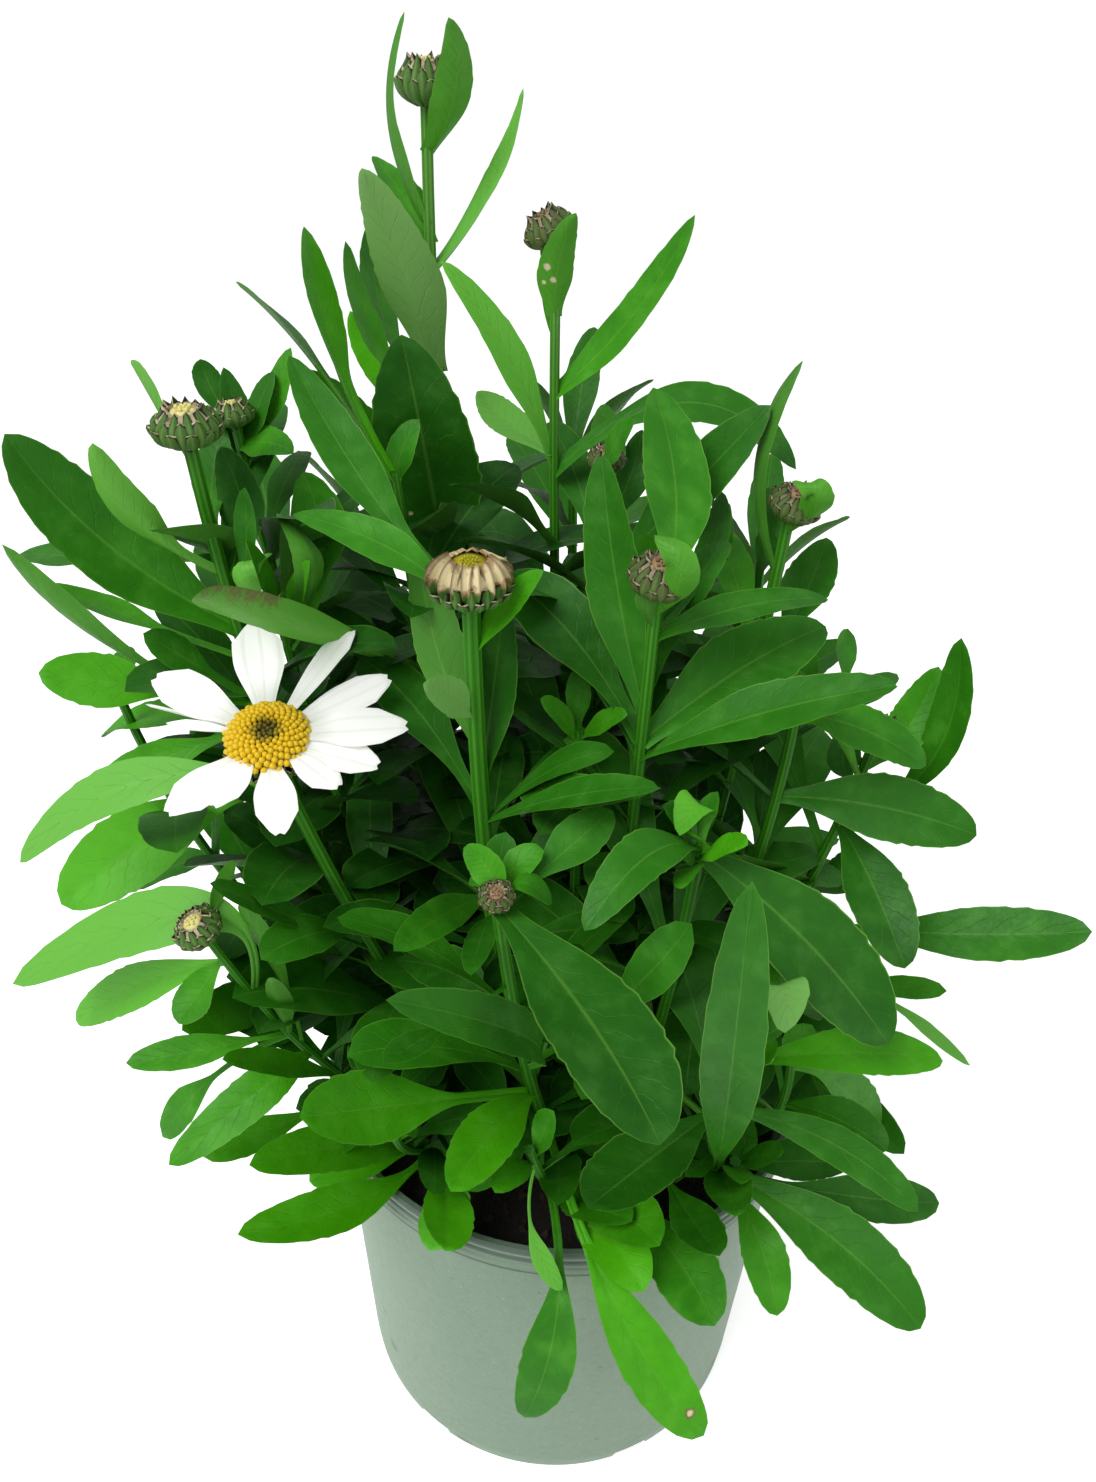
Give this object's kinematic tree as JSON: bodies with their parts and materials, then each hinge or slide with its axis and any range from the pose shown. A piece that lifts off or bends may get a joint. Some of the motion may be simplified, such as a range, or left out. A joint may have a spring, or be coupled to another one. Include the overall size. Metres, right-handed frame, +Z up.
{
  "type": "potted daisy",
  "caption": "Bushy white daisy with one open flower and closed buds on leafy stems, in a round plastic nursery pot of soil.",
  "frame": {"origin": "middle of the pot's underside, on the surface it stands on", "axes": "+Z up, -Y towards the side that the picture was taken from, +X to that picture's right"},
  "size_m": [0.2683, 0.2142, 0.3792],
  "materials": {
    "pot": "satin",
    "soil": "matte",
    "leaf": "satin",
    "bud_scale": "matte",
    "pale_bud": "matte",
    "white_petal": "matte",
    "yellow_disc": "matte"
  },
  "bodies": {
    "root": {"bloom_cup": "bud_scale", "bloom_disc": "yellow_disc", "bloom_rays": "white_petal", "bud_back_cup": "bud_scale", "bud_back_left_cup": "bud_scale", "bud_back_left_middle": "pale_bud", "bud_back_middle": "pale_bud", "bud_brown_right_cup": "bud_scale", "bud_brown_right_middle": "pale_bud", "bud_cream_cup": "bud_scale", "bud_cream_heart": "yellow_disc", "bud_cream_ring": "pale_bud", "bud_crown_front_cup": "bud_scale", "bud_crown_front_middle": "pale_bud", "bud_folded_cup": "bud_scale", "bud_folded_middle": "pale_bud", "bud_hidden_cup": "bud_scale", "bud_hidden_middle": "pale_bud", "bud_left_cup": "bud_scale", "bud_left_middle": "pale_bud", "bud_low_left_cup": "bud_scale", "bud_low_left_middle": "pale_bud", "bud_right_cup": "bud_scale", "bud_right_middle": "pale_bud", "bud_tall_cup": "bud_scale", "bud_tall_middle": "pale_bud", "pot": "pot", "soil": "soil", "stem_back": "leaf", "stem_back_left": "leaf", "stem_back_right": "leaf", "stem_bloom": "leaf", "stem_brown_right": "leaf", "stem_coil": "leaf", "stem_cream": "leaf", "stem_crown_front": "leaf", "stem_curl": "leaf", "stem_edge_left": "leaf", "stem_fold_right": "leaf", "stem_folded": "leaf", "stem_hidden": "leaf", "stem_left": "leaf", "stem_low_front": "leaf", "stem_low_left": "leaf", "stem_low_right": "leaf", "stem_low_side": "leaf", "stem_mid_left": "leaf", "stem_mid_right": "leaf", "stem_nest": "leaf", "stem_rear_left": "leaf", "stem_rear_mid": "leaf", "stem_rear_right": "leaf", "stem_right": "leaf", "stem_rosette_right": "leaf", "stem_tall": "leaf"}
  },
  "joints": []
}
